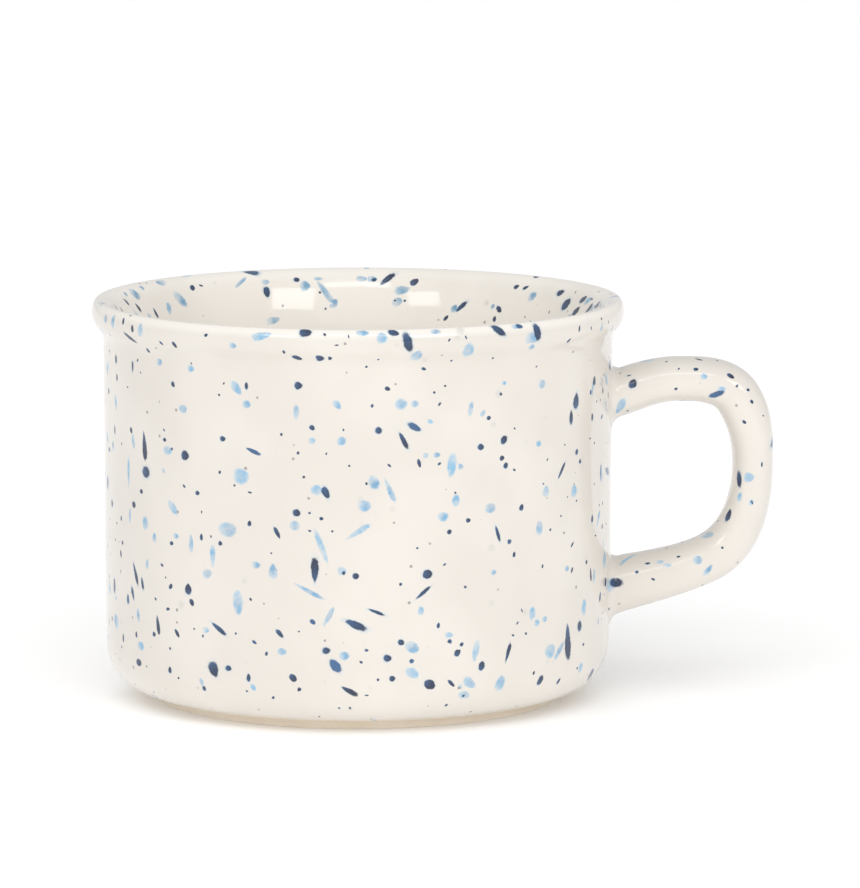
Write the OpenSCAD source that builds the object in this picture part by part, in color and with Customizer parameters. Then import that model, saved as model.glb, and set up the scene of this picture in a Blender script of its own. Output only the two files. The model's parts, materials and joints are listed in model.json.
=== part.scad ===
// Stoneware mug with a rolled rim, a turned foot ring and an attached handle.
// Millimetres. +Z is up, the origin is on the cup's axis at the plane it stands
// on, and the handle is towards +X. The clay pieces, the slip that joins them
// and the fired glaze coats are separate solids that meet face to face.

/* [Cup] */
// Height from the table to the top of the lip
height = 79; // [66:1:100]
// Outside diameter of the finished wall, just above the bottom corner
wall_d = 99.6; // [83:0.2:125]
// How much the outside radius grows from the bottom corner to the rim
wall_lean = 0.4; // [0:0.1:2]
// Thickness of the finished wall, with its glaze
wall_t = 4.4; // [3.4:0.1:6]
// Thickness of the finished floor, with its glaze
floor_t = 5; // [4:0.1:7]
// Outside radius of the bottom corner
corner_r = 9; // [7:0.5:13]
// Inside radius between the wall and the floor
inner_corner_r = 8; // [4:0.5:12]

/* [Rim] */
// How far the rolled rim stands out from the wall
rim_proud = 2.3; // [1:0.1:4]
// Height over which the wall flows out into the rolled rim
rim_sweep = 6; // [4:0.5:9]
// Height of the lip's top above the widest part of the rim
lip_rise = 2.4; // [1.5:0.1:4]
// How far the lip's top lies in from the widest part of the rim
lip_in = 1.3; // [0.9:0.1:2]
// Radius of the lip's inner edge
lip_edge_r = 3.5; // [2.5:0.1:4]
// Angle at which the inside leans out just below the lip's inner edge
mouth_lean = 22; // [15:1:30]

/* [Foot] */
// Height of the bare clay band at the foot
foot_h = 1.8; // [1.2:0.1:3]
// Step from the end of the bottom corner in to the side of the foot
foot_step = 0.8; // [0.2:0.1:2]
// Width of the ring that the mug stands on
foot_w = 5; // [3:0.5:9]
// Depth of the glazed recess inside the foot ring
recess_h = 1.6; // [1:0.1:3]
// Bevel on both edges of the foot ring
foot_bevel = 0.4; // [0.2:0.1:0.8]

/* [Handle] */
// Reach of the handle's middle line from the wall
handle_reach = 28; // [20:0.5:36]
// Drop from the lip's top to the middle of the upper root
upper_root_drop = 19.4; // [17:0.2:28]
// Height of the middle of the lower root above the table
lower_root_z = 21.3; // [18:0.1:28]
// Thickness at the grip, seen from the side
grip_t = 8; // [6:0.1:11]
// Thickness along the upper arm
arm_t = 8.6; // [6:0.1:12]
// Thickness on the upper and lower bends
bend_t = 9.3; // [6:0.1:13]
// Thickness at the lower root
lower_root_t = 10.6; // [8:0.1:14]
// Thickness at the upper root
upper_root_t = 9; // [7:0.1:13]
// Width of the handle at the grip
grip_w = 12.5; // [9:0.5:18]
// Width of the handle at both roots
root_w = 14; // [10:0.5:20]
// Radius of the fillet round each root
root_fillet = 2; // [0.8:0.1:3]

/* [Glaze and slip] */
// Thickness of every glaze coat
glaze_t = 0.4; // [0.3:0.05:0.6]
// How much thicker the liner gets down the wall, where it runs in the firing
glaze_run = 0.1; // [0.05:0.05:0.2]
// Thickness of the slip that joins the handle to the cup
slip_t = 0.6; // [0.3:0.05:1]

/* [Hidden] */

clay_colour = [0.87, 0.80, 0.71];
slip_colour = [0.83, 0.75, 0.65];
glaze_colour = [0.95, 0.93, 0.90];
liner_colour = [0.95, 0.92, 0.87];

// Facets of the turned shapes, and steps along each of their arcs
$fn = 96;
arc_steps = 8;
// Sides of the handle's section and how square it is (2 is an ellipse)
section_sides = 24;
section_power = 2.5;
// Steps along each of the handle's stretches
stretch_steps = 8;
// Steps round each root's fillet
fillet_steps = 6;
// Distance from the wall over which the handle's rings turn square to its path
settle = 7;
// Length of each handle tail inside the wall, before it is cut off
tail = 3;

// Turned profile, all on the finished, glazed surface
wall_r = wall_d / 2;
wall_top_r = wall_r + wall_lean;
rim_r = wall_top_r + rim_proud;
lip_r = rim_r - lip_in;
inner_r = wall_r - wall_t;
widest_z = height - lip_rise;
neck_z = widest_z - rim_sweep;
floor_z = recess_h + floor_t;
foot_r = wall_r - corner_r - foot_step;
recess_r = foot_r - foot_w;
// Two equal arcs, tangent to each other, carry the wall out to the rim
sweep_r = (pow(rim_proud, 2) + pow(rim_sweep, 2)) / (4 * rim_proud);
sweep_angle = asin(rim_sweep / (2 * sweep_r));
// Inside, a wide arc leans the straight wall out until it meets the lip's edge
mouth_r = (lip_r - inner_r - lip_edge_r * cos(mouth_lean)) / (1 - cos(mouth_lean));
mouth_z = height - lip_edge_r * (1 - sin(mouth_lean)) - mouth_r * sin(mouth_lean);

// Handle: the outer face of the slip, as a depth below the finished surface
slip_face = glaze_t - slip_t;
upper_root_z = height - upper_root_drop;
handle_rise = upper_root_z - lower_root_z;
wall_mid_r = wall_r + wall_lean / 2;
// Each row: share of the reach, share of the rise, heading of the middle line
// in degrees, thickness and width
handle_rows = [
    [0.00, 1.000,   18, upper_root_t, root_w],
    [0.48, 1.085,    0, arm_t, grip_w],
    [0.90, 0.980,  -59, bend_t, grip_w],
    [1.00, 0.640,  -90, grip_t, grip_w],
    [0.67, 0.145, -156, bend_t, grip_w],
    [0.00, 0.000, -163, lower_root_t, root_w]];

// Points along an arc with radii r[0] and r[1] round c. The first is left out
// where an arc carries on from the end of the one before it.
function arc(c, r, from, to, first = 0) = [for (i = [first:arc_steps])
    let (a = from + (to - from) * i / arc_steps)
    [c[0] + r[0] * cos(a), c[1] + r[1] * sin(a)]];

function reversed(list) = [for (i = [len(list) - 1:-1:0]) list[i]];

// Outside of the cup at a depth below the finished surface, foot to lip
function outside(depth) = concat(
    [[foot_r, foot_h + depth]],
    arc([wall_r - corner_r, foot_h + corner_r],
        [corner_r - depth, corner_r - depth], -90, 0),
    arc([wall_top_r + sweep_r, neck_z],
        [sweep_r + depth, sweep_r + depth], 180, 180 - sweep_angle),
    arc([rim_r - sweep_r, widest_z],
        [sweep_r - depth, sweep_r - depth], -sweep_angle, 0, 1),
    arc([lip_r, widest_z], [lip_in - depth, lip_rise - depth], 0, 90, 1));

// Inside of the cup at a depth below the finished surface, lip to floor. The
// depth at the bottom of the wall and on the floor is deeper by run.
function inside(depth, run = 0) = let (low = depth + run) concat(
    arc([lip_r, height - lip_edge_r],
        [lip_edge_r - depth, lip_edge_r - depth], 90, 180 - mouth_lean),
    arc([inner_r + mouth_r, mouth_z],
        [mouth_r - depth, mouth_r - depth], 180 - mouth_lean, 180, 1),
    arc([inner_r - inner_corner_r, floor_z + inner_corner_r],
        [inner_corner_r + low, inner_corner_r + low], 0, -90),
    [[0, floor_z - low]]);

// Everything inside a surface that lies at a depth below the finished outside
module full_cup(depth) {
    rotate_extrude()
        polygon(concat([[0, foot_h + depth]], outside(depth), [[0, height - depth]]));
}

function heading(angle) = [cos(angle), sin(angle)];

// Cubic between two handle rows: place at t, then direction at t
function blend(a, da, b, db, t) =
    (2 * pow(t, 3) - 3 * pow(t, 2) + 1) * a + (pow(t, 3) - 2 * pow(t, 2) + t) * da
    + (3 * pow(t, 2) - 2 * pow(t, 3)) * b + (pow(t, 3) - pow(t, 2)) * db;
function blend_slope(a, da, b, db, t) =
    6 * (pow(t, 2) - t) * a + (3 * pow(t, 2) - 4 * t + 1) * da
    + 6 * (t - pow(t, 2)) * b + (3 * pow(t, 2) - 2 * t) * db;

function row_place(row) = [row[0] * handle_reach, lower_root_z + row[1] * handle_rise];

// Stations along the handle, each [place, direction, thickness, width]
function station(i, t) = let (
        a = handle_rows[i], b = handle_rows[i + 1],
        pa = row_place(a), pb = row_place(b),
        pull = 1.08 * norm(pb - pa),
        da = pull * heading(a[2]), db = pull * heading(b[2]),
        slope = blend_slope(pa, da, pb, db, t), ease = t * t * (3 - 2 * t))
    [blend(pa, da, pb, db, t), slope / norm(slope),
     a[3] + (b[3] - a[3]) * ease, a[4] + (b[4] - a[4]) * ease];
last_row = len(handle_rows) - 2;
upper_root = station(0, 0);
lower_root = station(last_row, 1);
// The stations between the two fillets
stations = [for (i = [0:last_row]) for (k = [0:stretch_steps - 1])
    let (s = station(i, k / stretch_steps))
    if (s[0][0] > 1.2 * root_fillet) s];

// Radius of the finished wall at a height between the corner and the neck
function wall_at(z) = let (low_z = foot_h + corner_r)
    wall_r + wall_lean * (z - low_z) / (neck_z - low_z);

// Growth of the section at a distance out from the wall: a quarter-round fillet
function fillet(out) = let (u = min(max(out / root_fillet, 0), 1))
    root_fillet * (1 - sqrt(1 - pow(1 - u, 2)));

function signed_power(v, p) = sign(v) * pow(abs(v), p);

// Squarish oval, as [up, across] offsets from the middle line
function oval(half_t, half_w) = [for (j = [0:section_sides - 1])
    let (a = 360 * j / section_sides)
    [half_t * signed_power(sin(a), 2 / section_power),
     half_w * signed_power(cos(a), 2 / section_power)]];

// Ring square to the middle line, at a depth below the finished surface
function square_ring(s, depth) = [for (p = oval(s[2] / 2 - depth, s[3] / 2 - depth))
    [wall_mid_r + s[0][0] - s[1][1] * p[0], p[1], s[0][1] + s[1][0] * p[0]]];

// Ring at one distance out from the curved wall, on the straight tube through a root
function wall_ring(root, out, depth) = let (
        grow = fillet(out) - depth, r = wall_at(root[0][1]))
    [for (p = oval(root[2] / 2 + grow, root[3] / 2 + grow))
        let (x = sqrt(pow(r, 2) - pow(p[1], 2)) + out,
             along = (x - wall_mid_r + root[1][1] * p[0]) / root[1][0])
        [x, p[1], root[0][1] + root[1][0] * p[0] + along * root[1][1]]];

// Ring at a station: it turns from a wall ring into a square one as it gets out
function station_ring(s, depth) = let (
        u = min(s[0][0] / settle, 1), ease = u * u * (3 - 2 * u),
        root = s[0][1] > (upper_root_z + lower_root_z) / 2 ? upper_root : lower_root)
    wall_ring(root, s[0][0], depth) * (1 - ease) + square_ring(s, depth) * ease;

// Distances out from the wall of a root's rings, from inside the wall to the end
// of its fillet. A deeper form starts further in, so that two never share an end.
function root_outs(depth) = concat([-tail - depth, -tail / 3],
    [for (i = [0:fillet_steps - 1]) root_fillet * (1 - cos(90 * i / fillet_steps))]);

// The handle's whole swept form at a depth below its finished surface
module handle_form(depth) {
    outs = root_outs(depth);
    path = concat(
        [for (out = outs) wall_ring(upper_root, out, depth)],
        [for (s = stations) station_ring(s, depth)],
        [for (out = reversed(outs)) wall_ring(lower_root, out, depth)]);
    rings = len(path);
    sides = [for (i = [0:rings - 2]) for (j = [0:section_sides - 1])
        let (k = (j + 1) % section_sides, a = i * section_sides, b = a + section_sides)
        each [[a + j, b + j, b + k], [a + j, b + k, a + k]]];
    start = [for (j = [0:section_sides - 1]) j];
    finish = [for (j = [section_sides - 1:-1:0]) (rings - 1) * section_sides + j];
    polyhedron(points = [for (ring = path) each ring],
        faces = concat(sides, [start, finish]));
}

// Half of the space, above or below the middle of the handle
module half_space(upper) {
    middle_z = (upper_root_z + lower_root_z) / 2;
    reach = wall_d + handle_reach;
    translate([0, -reach / 2, upper ? middle_z : middle_z - reach])
        cube([reach, reach, reach]);
}

// Thrown clay body: floor, wall, rolled rim and foot ring
module cup_body() {
    color(clay_colour)
        rotate_extrude()
            polygon(concat(
                outside(glaze_t),
                inside(glaze_t, glaze_run),
                [[0, recess_h + glaze_t],
                 [recess_r, recess_h + glaze_t],
                 [recess_r, foot_bevel],
                 [recess_r + foot_bevel, 0],
                 [foot_r - foot_bevel, 0],
                 [foot_r, foot_bevel]]));
}

// Pulled clay handle, cut to sit on the slip
module handle() {
    color(clay_colour)
        difference() {
            handle_form(glaze_t);
            full_cup(slip_face);
        }
}

// Wafer of slip between one root of the handle and the cup
module slip_joint(upper) {
    color(slip_colour)
        difference() {
            intersection() {
                handle_form(glaze_t);
                full_cup(slip_face);
                half_space(upper);
            }
            full_cup(glaze_t);
        }
}
module upper_slip_joint() { slip_joint(true); }
module lower_slip_joint() { slip_joint(false); }

// Glaze over the outside of the cup, from the foot band to the lip's top
module outside_glaze() {
    color(glaze_colour)
        difference() {
            rotate_extrude() polygon(concat(outside(0), reversed(outside(glaze_t))));
            handle_form(glaze_t);
        }
}

// Glaze that lines the inside, from the lip's top to the middle of the floor
module liner_glaze() {
    color(liner_colour)
        rotate_extrude()
            polygon(concat(inside(0), reversed(inside(glaze_t, glaze_run))));
}

// Glaze over the handle, its fillets and the slip
module handle_glaze() {
    color(glaze_colour)
        difference() {
            handle_form(0);
            handle_form(glaze_t);
            full_cup(0);
        }
}

// Glaze on the underside, inside the foot ring
module recess_glaze() {
    color(liner_colour)
        translate([0, 0, recess_h]) cylinder(h = glaze_t, r = recess_r);
}

cup_body();
handle();
upper_slip_joint();
lower_slip_joint();
outside_glaze();
liner_glaze();
handle_glaze();
recess_glaze();
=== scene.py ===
import json
import math
from collections import namedtuple
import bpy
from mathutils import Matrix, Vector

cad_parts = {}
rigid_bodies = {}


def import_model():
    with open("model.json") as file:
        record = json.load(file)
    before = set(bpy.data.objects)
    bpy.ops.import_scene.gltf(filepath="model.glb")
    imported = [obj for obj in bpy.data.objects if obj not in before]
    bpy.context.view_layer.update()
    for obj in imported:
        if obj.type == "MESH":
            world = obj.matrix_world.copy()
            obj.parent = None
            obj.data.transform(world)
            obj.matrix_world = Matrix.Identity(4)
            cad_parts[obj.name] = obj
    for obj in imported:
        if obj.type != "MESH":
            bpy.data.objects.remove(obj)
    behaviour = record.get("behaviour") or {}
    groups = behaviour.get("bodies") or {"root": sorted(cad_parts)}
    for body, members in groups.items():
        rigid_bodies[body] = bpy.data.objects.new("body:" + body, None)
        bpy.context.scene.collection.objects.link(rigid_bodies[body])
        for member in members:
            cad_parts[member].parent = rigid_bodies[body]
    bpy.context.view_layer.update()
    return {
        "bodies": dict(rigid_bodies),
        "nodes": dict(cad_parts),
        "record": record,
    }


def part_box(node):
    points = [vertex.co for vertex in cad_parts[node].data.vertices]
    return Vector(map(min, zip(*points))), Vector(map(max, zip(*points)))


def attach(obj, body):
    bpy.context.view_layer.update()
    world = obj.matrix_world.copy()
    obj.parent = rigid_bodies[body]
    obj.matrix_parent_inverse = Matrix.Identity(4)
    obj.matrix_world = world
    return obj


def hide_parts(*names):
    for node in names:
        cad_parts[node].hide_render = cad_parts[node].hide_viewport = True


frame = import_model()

from types import SimpleNamespace

import bmesh
import bpy
import numpy as np
from bpy.props import FloatProperty, FloatVectorProperty, IntProperty, PointerProperty
from mathutils import Vector

bl_info = {
    "name": "Spatter Glazed Mug",
    "version": (1, 0, 0),
    "blender": (4, 5, 0),
    "location": "3D Viewport > Sidebar > Mug",
    "description": "Turns, glazes and spatters a stoneware mug, and lights it on a white table",
    "category": "Add Mesh",
}

BODY = next(iter(frame["bodies"]))
MM = 0.001
CM2 = 0.0001

COAT_EDGE = 0.3 * MM      # radius of the rolled lower edge of a glaze coat
LIP_STOP = 0.4            # degrees short of the lip's top, where both outlines meet in one point
WOBBLE_GRAIN = 55 * MM    # how far apart the dips in the wall are
WELD = 0.001 * MM         # points of a turned skin that are closer than this become one
SHARP = 50                # degrees between faces, past which their edge is shaded sharp


# ---------------------------------------------------------------- settings

def length(name, description, default):
    return FloatProperty(name=name, description=description, default=default, min=0.0, unit="LENGTH",
                         precision=5)


def angle(name, description, degrees):
    return FloatProperty(name=name, description=description, default=math.radians(degrees),
                         subtype="ANGLE")


def share(name, description, default):
    return FloatProperty(name=name, description=description, default=default, min=0.0, max=1.0,
                         subtype="FACTOR")


def srgb(red, green, blue):
    """A screen colour, 0 to 255, as the linear colour that Blender's nodes take."""
    def linear(value):
        value /= 255
        return value / 12.92 if value <= 0.04045 else ((value + 0.055) / 1.055) ** 2.4
    return tuple(linear(value) for value in (red, green, blue))


def colour(name, description, red, green, blue):
    return FloatVectorProperty(name=name, description=description, default=srgb(red, green, blue),
                               min=0.0, max=1.0, size=3, subtype="COLOR")


class MugCupSettings(bpy.types.PropertyGroup):
    """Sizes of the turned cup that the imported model's boxes and mounts don't give."""
    wall_t: length("Wall", "Thickness of the finished wall, with its glaze", 4.4 * MM)
    floor_t: length("Floor", "Thickness of the finished floor, with its glaze", 5 * MM)
    corner_r: length("Bottom corner", "Outside radius of the bottom corner", 9 * MM)
    inner_corner_r: length("Inner corner", "Inside radius between the wall and the floor", 8 * MM)
    rim_proud: length("Rim overhang", "How far the rolled rim stands out from the wall", 2.3 * MM)
    rim_sweep: length("Rim sweep", "Height over which the wall flows out into the rim", 6 * MM)
    lip_rise: length("Lip rise", "Height of the lip's top above the widest part of the rim", 2.4 * MM)
    lip_edge_r: length("Lip edge", "Radius of the lip's inner edge", 3.5 * MM)
    mouth_lean: angle("Mouth lean", "How far the inside leans out just below the lip's edge", 22)
    foot_step: length("Foot step", "Step from the bottom corner in to the side of the foot", 0.8 * MM)
    foot_bevel: length("Foot bevel", "Rounding of both edges of the foot ring", 0.4 * MM)
    glaze_run: length("Glaze run", "How much thicker the liner gets down the wall", 0.1 * MM)
    wobble: length("Wobble", "Deepest dip that the potter's hands left in the wall", 0.15 * MM)
    turn_steps: IntProperty(name="Turn steps", description="Faces round one turn of the cup",
                            default=288, min=48, max=512)


class MugHandleSettings(bpy.types.PropertyGroup):
    """Sizes of the pulled handle, all on its glazed surface."""
    reach: length("Reach", "Reach of the handle's middle line from the wall", 28 * MM)
    upper_root_drop: length("Upper root", "Drop from the lip's top to the upper root", 19.4 * MM)
    lower_root_z: length("Lower root", "Height of the lower root above the table", 21.3 * MM)
    grip_t: length("Grip", "Thickness at the grip, seen from the side", 8 * MM)
    arm_t: length("Arm", "Thickness along the upper arm", 8.6 * MM)
    bend_t: length("Bends", "Thickness on the two bends", 9.3 * MM)
    lower_root_t: length("Lower root thickness", "Thickness at the lower root", 10.6 * MM)
    upper_root_t: length("Upper root thickness", "Thickness at the upper root", 9 * MM)
    grip_w: length("Grip width", "Width of the handle at the grip", 12.5 * MM)
    root_w: length("Root width", "Width of the handle at both roots", 14 * MM)
    root_fillet: length("Root fillet", "Radius of the smoothed slip round each root", 2 * MM)
    section_power: FloatProperty(name="Squareness", description="2 makes the section an ellipse",
                                 default=2.5, min=2.0, max=5.0)


class MugGlazeSettings(bpy.types.PropertyGroup):
    """Colours and gloss of the clay, the glazes and the spatter."""
    ivory: colour("Outside glaze", "Ivory of the outside glaze", 225, 219, 211)
    liner: colour("Liner glaze", "Warmer ivory of the liner", 252, 247, 239)
    thin: colour("Thin glaze", "Glaze where the clay shows through it", 238, 224, 204)
    # Lifted near white, past the buff of the real clay: painted light that brightens the foot band where it
    # sits in shade.
    clay: colour("Clay", "Bare fired clay of the foot", 252, 242, 227)
    grog: colour("Grog", "Darker grains in the clay", 232, 212, 184)
    slip: colour("Slip", "Fired slip between the handle and the cup", 212, 192, 166)
    navy: colour("Navy", "Darkest spatter", 12, 27, 62)
    steel: colour("Steel blue", "Middle of the blues", 56, 104, 152)
    sky: colour("Sky blue", "Lightest spatter", 132, 188, 222)
    speck: colour("Iron speck", "Tiny grey brown specks", 120, 112, 112)
    freckle: colour("Freckle", "Faint grey spots under the glaze", 206, 205, 200)
    gloss: share("Glaze roughness", "Roughness of the fired glaze", 0.07)
    clay_roughness: share("Clay roughness", "Roughness of the bare clay", 0.78)


class MugSpatterSettings(bpy.types.PropertyGroup):
    """How the coloured glaze was flicked over the mug."""
    seed: IntProperty(name="Seed", description="Another number gives another spatter", default=7)
    amount: FloatProperty(name="Amount", description="Share of the full number of splashes",
                          default=1.0, min=0.0, max=2.0)
    gap: length("Gap", "Least bare glaze between two splashes of one layer", 1.0 * MM)


class MugStageSettings(bpy.types.PropertyGroup):
    """Camera and soft white studio."""
    lens: FloatProperty(name="Lens", description="Focal length in millimetres", default=280.3)
    distance: length("Distance", "From the camera to the mug's middle", 1.3668)
    elevation: angle("Elevation", "How far the camera looks down", 8.49)
    aim_side: length("Aim to the side", "How far the view's middle lies towards the handle", 0.01427)
    aim_up: length("Aim up", "How far the view's middle lies above the camera's pivot", 0.00975)
    sky_light: FloatProperty(name="Sky light", description="Even light from all round", default=0.69)
    sun_light: FloatProperty(name="Front light", description="Very soft light from the front", default=0.34)
    window_light: FloatProperty(name="Windows", description="Brightness of the three soft windows",
                                default=4.2)
    floor_white: share("Floor", "Reflectance of the table", 0.9)
    floor_glow: share("Floor glow", "Light that the table itself gives", 0.11)
    table_light: FloatProperty(name="Table light", description="Soft light that falls on the table only",
                               default=1.08)


# ------------------------------------------------------------- node helpers

class NodeMaker:
    """Adds nodes to a tree and joins them, so that a material reads as a few lines."""

    def __init__(self, tree):
        self.tree = tree

    def add(self, kind, inputs=(), **settings):
        node = self.tree.nodes.new(kind)
        for name, value in settings.items():
            setattr(node, name, value)
        pairs = inputs.items() if isinstance(inputs, dict) else enumerate(inputs)
        for key, value in pairs:
            self.feed(node.inputs[key], value)
        return node

    def feed(self, socket, value):
        if isinstance(value, bpy.types.NodeSocket):
            self.tree.links.new(value, socket)
        elif value is not None:
            socket.default_value = value

    def math(self, operation, *values, clamp=False):
        return self.add("ShaderNodeMath", values, operation=operation, use_clamp=clamp).outputs[0]

    def vector(self, operation, *values):
        node = self.add("ShaderNodeVectorMath", operation=operation)
        scalar = operation == "SCALE"
        for index, value in enumerate(values):
            self.feed(node.inputs["Scale" if scalar and index == 1 else index], value)
        single = operation in {"LENGTH", "DOT_PRODUCT", "DISTANCE"}
        return node.outputs["Value" if single else "Vector"]

    def split(self, vector):
        return self.add("ShaderNodeSeparateXYZ", [vector]).outputs

    def join(self, x=0.0, y=0.0, z=0.0):
        return self.add("ShaderNodeCombineXYZ", [x, y, z]).outputs[0]

    def ramp(self, value, low, high, start=0.0, end=1.0):
        """Smooth step of value from low to high, as start to end."""
        inputs = {"Value": value, "From Min": low, "From Max": high, "To Min": start, "To Max": end}
        node = self.add("ShaderNodeMapRange", inputs, interpolation_type="SMOOTHSTEP")
        return node.outputs["Result"]

    def noise(self, vector, grain, detail=2.0, roughness=0.5, offset=None):
        """Noise, 0 to 1, whose lumps are about one grain, in metres, across."""
        if offset is not None:
            vector = self.vector("ADD", vector, offset)
        inputs = {"Vector": vector, "Scale": 1 / grain, "Detail": detail, "Roughness": roughness}
        return self.add("ShaderNodeTexNoise", inputs).outputs["Fac"]

    def mix(self, factor, first, second):
        node = self.add("ShaderNodeMix", data_type="RGBA")
        self.feed(node.inputs["Factor"], factor)
        self.feed(node.inputs[6], opaque(first))
        self.feed(node.inputs[7], opaque(second))
        return node.outputs[2]

    def attribute(self, name):
        return self.add("ShaderNodeAttribute", attribute_name=name).outputs["Vector"]


def opaque(value):
    """A three-number colour with its alpha; a socket passes through."""
    if isinstance(value, bpy.types.NodeSocket):
        return value
    return (*value[:3], 1.0)


def new_material(name):
    """An empty node material: its maker and its shader, already joined to the output."""
    material = bpy.data.materials.new(name)
    material.use_nodes = True
    material.node_tree.nodes.clear()
    make = NodeMaker(material.node_tree)
    shader = make.add("ShaderNodeBsdfPrincipled")
    output = make.add("ShaderNodeOutputMaterial")
    make.feed(output.inputs["Surface"], shader.outputs["BSDF"])
    return material, make, shader


def object_place(make):
    return make.add("ShaderNodeTexCoord").outputs["Object"]


# ------------------------------------------------------------- the cup's form

def cup_form(cup):
    """Radii and heights of the turned outline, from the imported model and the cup's settings."""
    coat_low, coat_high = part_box("outside_glaze")
    liner_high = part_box("liner_glaze")[1]
    recess_low, recess_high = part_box("recess_glaze")
    mouth = next(mount for mount in frame["record"]["mounts"] if mount["name"] == "mouth")
    form = SimpleNamespace()
    form.height = coat_high.z
    form.foot_h = coat_low.z
    form.rim_r = coat_high.y
    form.lip_r = liner_high.y
    form.recess_r = recess_high.y
    form.recess_h = recess_low.z
    form.glaze_t = recess_high.z - recess_low.z
    form.inner_r = mouth["dims"]["r_mm"] * MM
    form.wall_r = form.inner_r + cup.wall_t
    form.wall_top_r = form.rim_r - cup.rim_proud
    form.lip_in = form.rim_r - form.lip_r
    form.widest_z = form.height - cup.lip_rise
    form.neck_z = form.widest_z - cup.rim_sweep
    form.floor_z = form.recess_h + cup.floor_t
    form.foot_r = form.wall_r - cup.corner_r - cup.foot_step
    form.sweep_r = (cup.rim_proud ** 2 + cup.rim_sweep ** 2) / (4 * cup.rim_proud)
    form.sweep_angle = math.degrees(math.asin(cup.rim_sweep / (2 * form.sweep_r)))
    lean = cup.mouth_lean
    form.mouth_r = (form.lip_r - form.inner_r - cup.lip_edge_r * math.cos(lean)) / (1 - math.cos(lean))
    form.mouth_z = form.height - cup.lip_edge_r * (1 - math.sin(lean)) - form.mouth_r * math.sin(lean)
    return form


def arc(centre, radii, start, end, steps):
    """Points along an arc, from start to end in degrees."""
    angles = np.radians(np.linspace(start, end, steps + 1))
    return [(centre[0] + radii[0] * math.cos(a), centre[1] + radii[1] * math.sin(a)) for a in angles]


def chained(*stretches, step=1.15 * MM):
    """One outline from several stretches, with long straight gaps cut into even steps."""
    points = list(stretches[0])
    for stretch in stretches[1:]:
        gap = math.dist(points[-1], stretch[0])
        count = max(1, round(gap / step))
        first, last = np.array(points[-1]), np.array(stretch[0])
        points += [tuple(first + (last - first) * i / count) for i in range(1, count)]
        points += stretch if gap > 1e-7 else stretch[1:]
    return points


def outside_outline(form, cup, depth):
    """Outside of the cup at a depth below the finished surface, foot to lip."""
    corner = cup.corner_r - depth
    return chained(
        [(form.foot_r, form.foot_h + depth)],
        arc((form.wall_r - cup.corner_r, form.foot_h + cup.corner_r), (corner, corner), -90, 0, 14),
        arc((form.wall_top_r + form.sweep_r, form.neck_z), (form.sweep_r + depth,) * 2,
            180, 180 - form.sweep_angle, 4),
        arc((form.rim_r - form.sweep_r, form.widest_z), (form.sweep_r - depth,) * 2,
            -form.sweep_angle, 0, 4),
        arc((form.lip_r, form.widest_z), (form.lip_in - depth, cup.lip_rise - depth),
            0, 90 - LIP_STOP, 10),
        [(form.lip_r, form.height - depth)])


def inside_outline(form, cup, depth, run):
    """Inside of the cup at a depth below the finished surface, lip to the floor's middle.

    The run is how much deeper the wall and the floor lie than the lip.
    """
    low = depth + run
    lean = math.degrees(cup.mouth_lean)
    return chained(
        [(form.lip_r, form.height - depth)],
        arc((form.lip_r, form.height - cup.lip_edge_r), (cup.lip_edge_r - depth,) * 2,
            90 + LIP_STOP, 180 - lean, 8),
        arc((form.inner_r + form.mouth_r, form.mouth_z), (form.mouth_r - depth,) * 2,
            180 - lean, 180, 8),
        arc((form.inner_r - cup.inner_corner_r, form.floor_z + cup.inner_corner_r),
            (cup.inner_corner_r + low,) * 2, 0, -90, 10),
        [(0.0, form.floor_z - low)])


# ------------------------------------------------------------- turning on the wheel

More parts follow.
